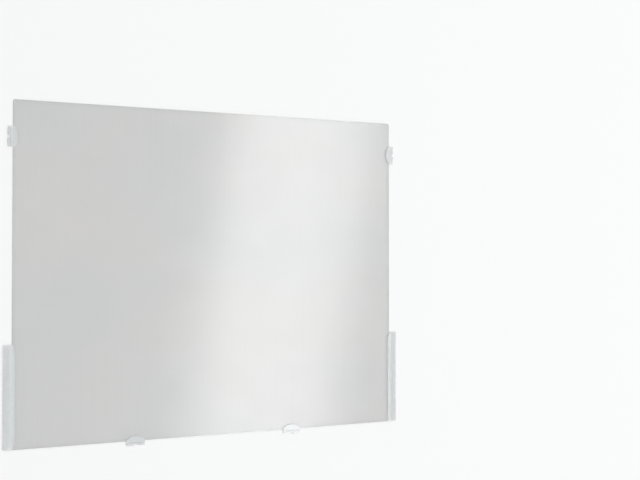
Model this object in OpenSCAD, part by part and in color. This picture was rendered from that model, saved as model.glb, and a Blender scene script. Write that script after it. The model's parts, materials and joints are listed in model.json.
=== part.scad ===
// Privacy filter sheet, seated in the clear clips that hold it against a flat panel.
// It lies on its back: X runs across the sheet, Y up to its top edge and Z out of its front face.
// The origin is the centre of the sheet's back face, in the plane that the clips are stuck to.
// A clip has a foot, a wall beside the sheet's edge and a lip that reaches over the sheet.
// In a clip's own frame X runs along it, Y points away from the sheet and Y = 0 is the wall's face.

/* [Filter sheet] */
// Width of the sheet
sheet_w = 376; // [260:1:600]
// Height of the sheet
sheet_h = 301; // [240:1:400]
// Thickness of the sheet
sheet_t = 0.8; // [0.5:0.05:1.2]
// Radius of the sheet's corners
sheet_corner_r = 1.5; // [0.5:0.5:6]

/* [Fit] */
// Gap between the sheet's front face and the lips over it
lip_gap = 0.3; // [0.15:0.05:0.6]
// Gap between each side edge of the sheet and the clips beside it
side_gap = 0.8; // [0.3:0.1:0.9]
// Gap between the bottom edge of the sheet and the tabs that it stands on
seat_gap = 0.3; // [0.1:0.05:0.6]

/* [Clip moulding] */
// Thickness of the lips
lip_t = 1.2; // [0.9:0.1:1.8]
// Thickness of the feet
foot_t = 1.2; // [0.8:0.1:1.4]
// Thickness of the walls between foot and lip
wall_t = 1.2; // [0.8:0.1:1.8]
// Radius of the rounded upper edges
edge_r = 0.25; // [0.1:0.05:0.35]
// Radius of the fillet in the step from wall to foot
step_fillet_r = 0.25; // [0.1:0.05:0.5]
// Height of the bevel under a lip's rim, which leads the sheet in
lead_in_h = 0.4; // [0.2:0.05:0.5]
// Depth of the bevel under a lip's rim
lead_in_d = 0.8; // [0.4:0.1:1.2]

/* [Tabs] */
// Length of a tab along the sheet's edge
tab_len = 17.6; // [14:0.1:24]
// Reach of a tab's lip at the crown of its arc, from the wall's face
tab_lip_crown = 5; // [3.5:0.1:6.5]
// Reach of a tab's lip at its two ends
tab_lip_end = 1.6; // [0.6:0.1:2.4]
// Depth of a tab's foot, from the wall's face
tab_foot_d = 3.9; // [3.5:0.1:7]
// Radius of a tab's outer corners
tab_corner_r = 0.8; // [0.3:0.1:1.5]
// Radius of the half-round notch in the outer edge of a tab's foot
tab_notch_r = 1.2; // [0.6:0.1:1.5]
// Distance from the sheet's top edge down to the middle of the side tabs
side_tab_drop = 32; // [15:0.5:60]
// Distance from the sheet's side edges in to the middle of the bottom tabs
bottom_tab_inset = 110; // [30:1:120]

/* [Guide rails] */
// Length of a rail, up from the sheet's bottom edge
rail_len = 90; // [50:1:140]
// Reach of a rail's lip along its straight stretch, from the wall's face
rail_lip_crown = 3.2; // [2:0.1:5]
// Reach of a rail's lip at its two ends
rail_lip_end = 0.6; // [0.3:0.1:1.2]
// Length of the rounded stretch at each end of a rail's lip
rail_lip_run = 8.5; // [5:0.5:15]
// Depth of a rail's foot, from the wall's face
rail_foot_d = 6.9; // [5:0.1:10]
// Radius of a rail's outer corners
rail_corner_r = 1.2; // [0.5:0.1:2]
// Length of the flared mouth at the upper end of a rail
mouth_len = 6; // [3:0.5:12]
// Depth to which the flared mouth cuts into the wall
mouth_flare = 0.9; // [0.3:0.1:1.1]

/* [Adhesive pads] */
// Thickness of the adhesive pads under the feet
pad_t = 0.6; // [0.3:0.05:0.8]
// Inset of a pad from the edges of its foot
pad_inset = 0.4; // [0.2:0.05:0.8]

/* [Hidden] */

$fn = 64;
RIGHT = 1;
LEFT = -1;
sheet_tint = [0.68, 0.7, 0.71, 0.7];
clip_tint = [0.88, 0.92, 0.94];
pad_tint = [0.96, 0.96, 0.93];

// Levels above the plane that everything is stuck to
foot_top = pad_t + foot_t;
lip_bottom = sheet_t + lip_gap;
lip_top = lip_bottom + lip_t;
// The fillet stays under the rounded edge above it, however low the step is
fillet_r = max(0, min(step_fillet_r, lip_top - foot_top - edge_r));
// How far a cutting shape runs past what it cuts
over = 1;

// Radius of the arc that rises by rise over half a chord of length run
function arc_radius(rise, run) = (rise * rise + run * run) / (2 * rise);

// Rectangle that stands on Y = 0, centred in X, with its two upper corners rounded
module round_top(w, h, r) {
    translate([-w / 2, 0]) square([w, h - r]);
    translate([-w / 2 + r, 0]) square([w - 2 * r, h]);
    for (side = [LEFT, RIGHT]) translate([side * (w / 2 - r), h - r]) circle(r);
}

// Block of the given length in X, between two values of Y and of Z, with rounded upper edges
module soft_block(length, y0, y1, z0, z1) {
    translate([0, (y0 + y1) / 2, z0]) intersection() {
        rotate([90, 0, 0]) linear_extrude(y1 - y0, center = true) round_top(length, z1 - z0, edge_r);
        rotate([90, 0, 90]) linear_extrude(length, center = true) round_top(y1 - y0, z1 - z0, edge_r);
    }
}

// Plan of a foot, with rounded outer corners and, where notch_r is given, a half-round notch
module foot_plan(length, depth, corner_r, notch_r = 0) {
    difference() {
        round_top(length, depth, corner_r);
        if (notch_r > 0) translate([0, depth]) circle(notch_r);
    }
}

// Section of a lip from its root at X = 0 out to its rim, bevelled below and rounded above
module lip_section(reach) {
    polygon([
        [0, 0], [reach - lead_in_d, 0], [reach, lead_in_h],
        [reach, lip_t - edge_r], [reach - edge_r, lip_t], [0, lip_t]
    ]);
    translate([reach - edge_r, lip_t - edge_r]) circle(edge_r);
}

// Lip with an arc of the given run at each end and a straight stretch between them
module lip(length, crown, end, run) {
    arc_r = arc_radius(crown - end, run);
    straight = length - 2 * run;
    intersection() {
        soft_block(length, -crown - over, wall_t, lip_bottom, lip_top);
        translate([0, arc_r - crown, lip_bottom]) {
            for (x = straight > 0 ? [-straight / 2, straight / 2] : [0])
                translate([x, 0, 0]) rotate_extrude() lip_section(arc_r);
            if (straight > 0)
                rotate([90, 0, -90]) linear_extrude(straight, center = true) lip_section(arc_r);
        }
    }
}

// Fillet in the step from the wall down to the foot
module step_fillet(length) {
    difference() {
        translate([-length / 2 + edge_r, wall_t, foot_top])
            cube([length - 2 * edge_r, fillet_r, fillet_r]);
        translate([0, wall_t + fillet_r, foot_top + fillet_r])
            rotate([0, 90, 0]) cylinder(h = length, r = fillet_r, center = true);
    }
}

// One clip of clear plastic: foot, wall, lip and the filleted step
module clip(length, foot_d, corner_r, crown, end, run, notch_r = 0) {
    intersection() {
        soft_block(length, -over, foot_d, pad_t, foot_top);
        linear_extrude(foot_top) foot_plan(length, foot_d, corner_r, notch_r);
    }
    translate([-length / 2, 0, pad_t]) cube([length, wall_t, lip_top - edge_r - pad_t]);
    lip(length, crown, end, run);
    if (fillet_r > 0) step_fillet(length);
}

// Short tab, whose lip is one arc from end to end
module tab() {
    clip(tab_len, tab_foot_d, tab_corner_r, tab_lip_crown, tab_lip_end, tab_len / 2, tab_notch_r);
}

// Wedge that opens the upper end of a rail's wall, which lies at -X in the rail's own frame
module mouth() {
    slope = mouth_flare / mouth_len;
    translate([-rail_len / 2, 0, 0]) linear_extrude(lip_bottom) polygon([
        [-over, -over], [mouth_len + over / slope, -over], [-over, mouth_flare + over * slope]
    ]);
}

// Long rail that guides the side of the sheet down to its seat
module rail() {
    difference() {
        clip(rail_len, rail_foot_d, rail_corner_r, rail_lip_crown, rail_lip_end, rail_lip_run);
        mouth();
    }
}

// Adhesive pad under a tab, inset all round and notched about the same centre
module tab_pad() {
    translate([0, pad_inset, 0]) linear_extrude(pad_t) difference() {
        round_top(tab_len - 2 * pad_inset, tab_foot_d - 2 * pad_inset, tab_corner_r);
        translate([0, tab_foot_d - pad_inset]) circle(tab_notch_r + pad_inset);
    }
}

// Adhesive pad under a rail, inset all round and clear of the flared mouth
module rail_pad() {
    inner = mouth_flare + pad_inset;
    translate([0, inner, 0]) linear_extrude(pad_t)
        round_top(rail_len - 2 * pad_inset, rail_foot_d - inner - pad_inset, rail_corner_r);
}

// Puts a clip beside one side edge of the sheet, at height y
module beside_sheet(side, y) {
    mirror([side == LEFT ? 1 : 0, 0, 0])
        translate([sheet_w / 2 + side_gap, y, 0]) rotate([0, 0, -90]) children();
}

// Puts a clip under the bottom edge of the sheet, on one side of its middle
module under_sheet(side) {
    translate([side * (sheet_w / 2 - bottom_tab_inset), -sheet_h / 2 - seat_gap, 0])
        rotate([0, 0, 180]) children();
}

side_tab_y = sheet_h / 2 - side_tab_drop;
rail_y = -sheet_h / 2 + rail_len / 2;

module filter_sheet() {
    color(sheet_tint) linear_extrude(sheet_t) union() {
        square([sheet_w, sheet_h - 2 * sheet_corner_r], center = true);
        square([sheet_w - 2 * sheet_corner_r, sheet_h], center = true);
        for (x = [-1, 1], y = [-1, 1])
            translate([x * (sheet_w / 2 - sheet_corner_r), y * (sheet_h / 2 - sheet_corner_r)])
                circle(sheet_corner_r);
    }
}

module side_tab(side) { color(clip_tint) beside_sheet(side, side_tab_y) tab(); }
module side_tab_adhesive(side) { color(pad_tint) beside_sheet(side, side_tab_y) tab_pad(); }
module bottom_tab(side) { color(clip_tint) under_sheet(side) tab(); }
module bottom_tab_adhesive(side) { color(pad_tint) under_sheet(side) tab_pad(); }
module guide_rail(side) { color(clip_tint) beside_sheet(side, rail_y) rail(); }
module guide_rail_adhesive(side) { color(pad_tint) beside_sheet(side, rail_y) rail_pad(); }

filter_sheet();
side_tab(RIGHT);  // side_tab_right
side_tab(LEFT);  // side_tab_left
bottom_tab(RIGHT);  // bottom_tab_right
bottom_tab(LEFT);  // bottom_tab_left
guide_rail(RIGHT);  // guide_rail_right
guide_rail(LEFT);  // guide_rail_left
side_tab_adhesive(RIGHT);  // side_tab_right_adhesive
side_tab_adhesive(LEFT);  // side_tab_left_adhesive
bottom_tab_adhesive(RIGHT);  // bottom_tab_right_adhesive
bottom_tab_adhesive(LEFT);  // bottom_tab_left_adhesive
guide_rail_adhesive(RIGHT);  // guide_rail_right_adhesive
guide_rail_adhesive(LEFT);  // guide_rail_left_adhesive
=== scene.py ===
"""Looks of a screen privacy filter that lies on a pale floor, seated in its clear stick-on clips."""
import json
import math

import bpy
from mathutils import Matrix, Vector


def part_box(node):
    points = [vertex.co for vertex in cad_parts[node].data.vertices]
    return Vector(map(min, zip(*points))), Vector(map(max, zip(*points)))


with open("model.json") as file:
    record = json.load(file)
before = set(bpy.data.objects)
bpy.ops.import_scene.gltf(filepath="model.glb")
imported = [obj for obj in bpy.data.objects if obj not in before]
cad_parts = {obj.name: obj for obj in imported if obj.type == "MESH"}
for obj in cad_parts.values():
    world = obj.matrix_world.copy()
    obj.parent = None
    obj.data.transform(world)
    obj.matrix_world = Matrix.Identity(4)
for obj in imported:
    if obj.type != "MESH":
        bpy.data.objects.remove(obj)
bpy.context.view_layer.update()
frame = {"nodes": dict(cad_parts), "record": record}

# The photograph's view of the filter: from its left, a little over a metre away
PHOTO_WIDTH = 640
FOCAL_PIXELS = 1109
CAMERA_PLACE = Vector((-0.3932, 0.0112, 0.9662))
CAMERA_YAW = math.radians(27.5)
CAMERA_PITCH = math.radians(1.09)
NEAREST_SEEN = 0.01

# The floor, which lies a hair under the filter so that their faces don't coincide
FLOOR_DROP = 0.0001
FLOOR_SIZE = 40.0
FLOOR_COLOUR = (0.93, 0.93, 0.93, 1)
FLOOR_ROUGHNESS = 0.9

# The sky above the pale backdrop, and where its bands fade over, with 0 at the horizon and 1 overhead
FLAG_COLOUR = (0.30, 0.31, 0.32, 1)
OVERHEAD_COLOUR = (1.12, 1.12, 1.12, 1)
BACKDROP_FADE = (0.18, 0.28)
OVERHEAD_FADE = (0.55, 0.85)

# The softbox that the film mirrors to the camera, with its sides in metres
KEY_PLACE = (1.515, 0.05, 3.0)
KEY_SIZE = (0.55, 2.6)
KEY_ROLL = math.radians(80)
KEY_WATTS = 20.5

# The tall strip lamps round the floor, at bearings in degrees and a distance in metres
STRIP_BEARINGS = (50, 140, 230, 320)
STRIP_DISTANCE = 9.0
STRIP_WIDTH = 2.1
STRIP_HEIGHT = 7.8
STRIP_WATTS = 95

# Distance from the film's edge in to the edge of its louvred core, and the widths of both edges, in metres
MARGIN = 0.002
CORE_EDGE = 0.0006
CUT_RIM = 0.0004

# How dark the edge of the core is, as a share of the rim's shade, and how much the louvres show
CORE_EDGE_SHADE = 0.4
LOUVRE_SHARE = 0.08

# How solid the film is in its tinted face and at its rim
FILM_ALPHA = 0.65
RIM_ALPHA = 0.8

# A see-through face loses some of its gloss, and an index above the real one makes up for that
FILM_IOR = 1.8

# The film's finish, the colours of its core, louvres and rim, and the tint of its shadow
FILM_ROUGHNESS = (0.11, 0.17)
FILM_COOL = (0.485, 0.505, 0.495, 1)
FILM_WARM = (0.53, 0.52, 0.507, 1)
LOUVRE_COLOUR = (0.37, 0.376, 0.373, 1)
RIM_COLOUR = (0.325, 0.335, 0.335, 1)
FILM_SHADOW = (0.985, 0.985, 0.985, 1)

# The light that the clear plastic doesn't let through is scattered, which makes it slightly milky
PLASTIC_CLEARNESS = 0.66

# The rest of the plastic's finish, its colour in and between the flow marks, and the tint of its shadow
PLASTIC_IOR = 1.49
PLASTIC_ROUGHNESS = (0.05, 0.11)
PLASTIC_DEEP = (0.865, 0.88, 0.882, 1)
PLASTIC_PALE = (0.91, 0.922, 0.924, 1)
PLASTIC_SHADOW = (0.80, 0.815, 0.82, 1)

# The double-sided tape under the clips
TAPE_ALPHA = 0.4
TAPE_IOR = 1.47
TAPE_ROUGHNESS = 0.45
TAPE_DEEP = (0.82, 0.83, 0.82, 1)
TAPE_PALE = (0.92, 0.92, 0.90, 1)

# Fineness of each pattern, in waves per metre across, up and through the filter
LOUVRE_FINENESS = (1400, 4, 1)
CLOUD_FINENESS = (6, 9, 1)
SMUDGE_FINENESS = (28, 40, 1)
FLOW_FINENESS = (160, 160, 400)
BUBBLE_FINENESS = (900, 900, 900)

# Most of a pattern's values lie between these two
PATTERN_LOW = 0.3
PATTERN_HIGH = 0.7

# Height in metres and strength of the film's slow waves and of the flow marks
FILM_WAVE = (0.0006, 0.6)
FLOW_RIPPLE = (0.00004, 0.5)


def new_nodes(material_or_world):
    """The emptied node tree of a material or a world."""
    material_or_world.use_nodes = True
    tree = material_or_world.node_tree
    tree.nodes.clear()
    return tree


def feed(tree, socket, value):
    """Links another node's socket to an input, or sets the input to a plain value."""
    if isinstance(value, bpy.types.NodeSocket):
        tree.links.new(value, socket)
    else:
        socket.default_value = value


def add(tree, kind, inputs=None, **settings):
    """A new node with its settings and its inputs."""
    made = tree.nodes.new(kind)
    for name, value in settings.items():
        setattr(made, name, value)
    for name, value in (inputs or {}).items():
        feed(tree, made.inputs[name], value)
    return made


def stretched_noise(tree, fineness, detail):
    """Noise over the object's own coordinates, with a fineness for each axis."""
    place = add(tree, "ShaderNodeTexCoord").outputs["Object"]
    mapped = add(tree, "ShaderNodeMapping", {"Vector": place, "Scale": fineness}).outputs["Vector"]
    noise = add(tree, "ShaderNodeTexNoise", {"Vector": mapped, "Scale": 1.0, "Detail": detail})
    return noise.outputs["Fac"]


def spread(tree, value, low, high, start=PATTERN_LOW, end=PATTERN_HIGH):
    """A value from start to end, spread from low to high."""
    return add(tree, "ShaderNodeMapRange", {
        "Value": value, "From Min": start, "From Max": end, "To Min": low, "To Max": high,
    }).outputs["Result"]


def blend(tree, factor, first, second):
    """Colour between first and second."""
    made = add(tree, "ShaderNodeMix", {"Factor": factor}, data_type="RGBA")
    first_socket, second_socket = [socket for socket in made.inputs if socket.type == "RGBA"]
    feed(tree, first_socket, first)
    feed(tree, second_socket, second)
    return next(socket for socket in made.outputs if socket.type == "RGBA")


def calc(tree, operation, *values):
    """One step of arithmetic on values or sockets."""
    made = add(tree, "ShaderNodeMath", operation=operation)
    for socket, value in zip(made.inputs, values):
        feed(tree, socket, value)
    return made.outputs["Value"]


def bump(tree, pattern, height, strength):
    """A surface normal that follows a pattern of the given height."""
    made = add(tree, "ShaderNodeBump", {"Height": pattern, "Distance": height, "Strength": strength})
    return made.outputs["Normal"]


def steepness(tree):
    """0 on level faces and 1 on upright ones."""
    normal = add(tree, "ShaderNodeNewGeometry").outputs["True Normal"]
    upward = add(tree, "ShaderNodeSeparateXYZ", {"Vector": normal}).outputs["Z"]
    return calc(tree, "SUBTRACT", 1.0, calc(tree, "ABSOLUTE", upward))


def edge_distance(tree, node_name):
    """How far a point lies inside the outline of a flat rectangular node that is centred on the origin."""
    lowest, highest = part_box(node_name)
    place = add(tree, "ShaderNodeTexCoord").outputs["Object"]
    across, up, _ = add(tree, "ShaderNodeSeparateXYZ", {"Vector": place}).outputs
    inside_side = calc(tree, "SUBTRACT", (highest[0] - lowest[0]) / 2, calc(tree, "ABSOLUTE", across))
    inside_end = calc(tree, "SUBTRACT", (highest[1] - lowest[1]) / 2, calc(tree, "ABSOLUTE", up))
    return calc(tree, "MINIMUM", inside_side, inside_end)


def in_front_half(tree, node_name):
    """1 in the front half of a flat node's thickness and 0 in its back half."""
    lowest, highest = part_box(node_name)
    place = add(tree, "ShaderNodeTexCoord").outputs["Object"]
    height = add(tree, "ShaderNodeSeparateXYZ", {"Vector": place}).outputs["Z"]
    return calc(tree, "GREATER_THAN", height, (lowest[2] + highest[2]) / 2)


def lamps_through(tree, seen, tint):
    """The shader that is seen, which the light of lamps passes straight through, taking the tint."""
    open_way = add(tree, "ShaderNodeBsdfTransparent", {"Color": tint}).outputs["BSDF"]
    shadow_ray = add(tree, "ShaderNodeLightPath").outputs["Is Shadow Ray"]
    return add(tree, "ShaderNodeMixShader", {0: shadow_ray, 1: seen, 2: open_way}).outputs["Shader"]


def finished(material, tree, shader):
    """The material, with its shader on its output."""
    add(tree, "ShaderNodeOutputMaterial", {"Surface": shader})
    return material


def film_material():
    """Louvred film under a hard coat: see-through grey with a faint haze, all held in its front face."""
    material = bpy.data.materials.new("filter_film")
    tree = new_nodes(material)
    louvres = stretched_noise(tree, LOUVRE_FINENESS, detail=3.0)
    clouds = stretched_noise(tree, CLOUD_FINENESS, detail=2.0)
    smudges = stretched_noise(tree, SMUDGE_FINENESS, detail=5.0)
    tint = blend(tree, spread(tree, clouds, 0, 1), FILM_COOL, FILM_WARM)
    core = blend(tree, spread(tree, louvres, 0, LOUVRE_SHARE), tint, LOUVRE_COLOUR)

    # The shade is full at the cut rim and on the sides, with a paler line where the core ends
    inside = edge_distance(tree, "filter_sheet")
    off_core_edge = calc(tree, "ABSOLUTE", calc(tree, "SUBTRACT", inside, MARGIN))
    core_edge = spread(tree, off_core_edge, CORE_EDGE_SHADE, 0, start=0.0, end=CORE_EDGE)
    near_cut = spread(tree, inside, 1, 0, start=0.5 * CUT_RIM, end=CUT_RIM)
    side = steepness(tree)
    shade = calc(tree, "MAXIMUM", core_edge, calc(tree, "MAXIMUM", near_cut, side))

    # The back face is clear, so that a look through the film crosses the tint once
    tinted = calc(tree, "MAXIMUM", in_front_half(tree, "filter_sheet"), side)
    solid = spread(tree, shade, FILM_ALPHA, RIM_ALPHA, start=0.0, end=1.0)

    shader = add(tree, "ShaderNodeBsdfPrincipled", {
        "Base Color": blend(tree, shade, core, RIM_COLOUR),
        "Roughness": spread(tree, smudges, *FILM_ROUGHNESS),
        "IOR": FILM_IOR,
        "Alpha": calc(tree, "MULTIPLY", tinted, solid),
        "Normal": bump(tree, clouds, *FILM_WAVE),
    }).outputs["BSDF"]
    return finished(material, tree, lamps_through(tree, shader, FILM_SHADOW))


def plastic_material():
    """Clear, slightly milky moulded plastic with fine flow marks."""
    material = bpy.data.materials.new("clear_plastic")
    tree = new_nodes(material)
    flow = stretched_noise(tree, FLOW_FINENESS, detail=3.0)
    shader = add(tree, "ShaderNodeBsdfPrincipled", {
        "Base Color": blend(tree, spread(tree, flow, 0, 1), PLASTIC_DEEP, PLASTIC_PALE),
        "Roughness": spread(tree, flow, *PLASTIC_ROUGHNESS),
        "IOR": PLASTIC_IOR,
        "Transmission Weight": PLASTIC_CLEARNESS,
        "Normal": bump(tree, flow, *FLOW_RIPPLE),
    }).outputs["BSDF"]
    return finished(material, tree, lamps_through(tree, shader, PLASTIC_SHADOW))


def adhesive_material():
    """Milky acrylic tape with fine bubbles."""
    material = bpy.data.materials.new("adhesive")
    tree = new_nodes(material)
    bubbles = stretched_noise(tree, BUBBLE_FINENESS, detail=2.0)
    shader = add(tree, "ShaderNodeBsdfPrincipled", {
        "Base Color": blend(tree, spread(tree, bubbles, 0, 1), TAPE_DEEP, TAPE_PALE),
        "Roughness": TAPE_ROUGHNESS,
        "IOR": TAPE_IOR,
        "Alpha": TAPE_ALPHA,
    }).outputs["BSDF"]
    return finished(material, tree, shader)


def dress_nodes():
    """Gives each CAD node the finish of its material slot."""
    finishes = {
        "filter_film": film_material(),
        "clear_plastic": plastic_material(),
        "adhesive": adhesive_material(),
    }
    for part in frame["record"]["subparts"]:
        node = frame["nodes"][part["node"]]
        node.data.materials.clear()
        node.data.materials.append(finishes[part["material_slot"]])


def make_floor():
    """A plain pale floor, just under the filter."""
    material = bpy.data.materials.new("floor")
    tree = new_nodes(material)
    shader = add(tree, "ShaderNodeBsdfPrincipled", {
        "Base Color": FLOOR_COLOUR, "Roughness": FLOOR_ROUGHNESS,
    }).outputs["BSDF"]
    bpy.ops.mesh.primitive_plane_add(size=FLOOR_SIZE, location=(0, 0, -FLOOR_DROP))
    floor = bpy.context.object
    floor.name = "floor"
    floor.data.materials.append(finished(material, tree, shader))


def make_world():
    """A white backdrop low all round, grey flags above it and soft light overhead."""
    world = bpy.data.worlds.new("studio")
    bpy.context.scene.world = world
    tree = new_nodes(world)
    direction = add(tree, "ShaderNodeTexCoord").outputs["Generated"]
    height = add(tree, "ShaderNodeSeparateXYZ", {"Vector": direction}).outputs["Z"]
    upper = blend(tree, spread(tree, height, 0, 1, *OVERHEAD_FADE), FLAG_COLOUR, OVERHEAD_COLOUR)
    sky = blend(tree, spread(tree, height, 0, 1, *BACKDROP_FADE), FLOOR_COLOUR, upper)
    background = add(tree, "ShaderNodeBackground", {"Color": sky, "Strength": 1.0})
    add(tree, "ShaderNodeOutputWorld", {"Surface": background.outputs["Background"]})


def make_softbox(name, place, target, size, watts, roll=0.0):
    """A rectangular lamp at place that faces target, rolled about its own axis."""
    light = bpy.data.lights.new(name, "AREA")
    light.shape = "RECTANGLE"
    light.size, light.size_y = size
    light.energy = watts
    lamp = bpy.data.objects.new(name, light)
    facing = (Vector(target) - Vector(place)).to_track_quat("-Z", "Y").to_matrix()
    turned = facing @ Matrix.Rotation(roll, 3, "Z")
    lamp.matrix_world = Matrix.Translation(place) @ turned.to_4x4()
    lamp.visible_camera = False
    bpy.context.scene.collection.objects.link(lamp)


def make_lamps():
    """A softbox that the film mirrors, and tall strips round the floor that edge the clips."""
    make_softbox("key", KEY_PLACE, (0, 0, 0), KEY_SIZE, KEY_WATTS, KEY_ROLL)
    size = (STRIP_WIDTH, STRIP_HEIGHT)
    middle = STRIP_HEIGHT / 2
    for number, bearing in enumerate(STRIP_BEARINGS):
        x = STRIP_DISTANCE * math.cos(math.radians(bearing))
        y = STRIP_DISTANCE * math.sin(math.radians(bearing))
        make_softbox(f"strip_{number}", (x, y, middle), (0, 0, middle), size, STRIP_WATTS)


def make_camera():
    """The photograph's camera, whose right side stays level with the filter's width."""
    data = bpy.data.cameras.new("camera")
    data.lens = data.sensor_width * FOCAL_PIXELS / PHOTO_WIDTH
    data.clip_start = NEAREST_SEEN
    camera = bpy.data.objects.new("camera", data)
    level = Vector((math.sin(CAMERA_YAW), 0, -math.cos(CAMERA_YAW)))
    right = Vector((math.cos(CAMERA_YAW), 0, math.sin(CAMERA_YAW)))
    up_the_sheet = Vector((0, 1, 0))
    forward = level * math.cos(CAMERA_PITCH) + up_the_sheet * math.sin(CAMERA_PITCH)
    up = up_the_sheet * math.cos(CAMERA_PITCH) - level * math.sin(CAMERA_PITCH)
    turn = Matrix((right, up, -forward)).transposed().to_4x4()
    camera.matrix_world = Matrix.Translation(CAMERA_PLACE) @ turn
    bpy.context.scene.collection.objects.link(camera)
    bpy.context.scene.camera = camera


make_camera()
dress_nodes()
make_floor()
make_world()
make_lamps()
bpy.context.scene.view_settings.view_transform = "Standard"
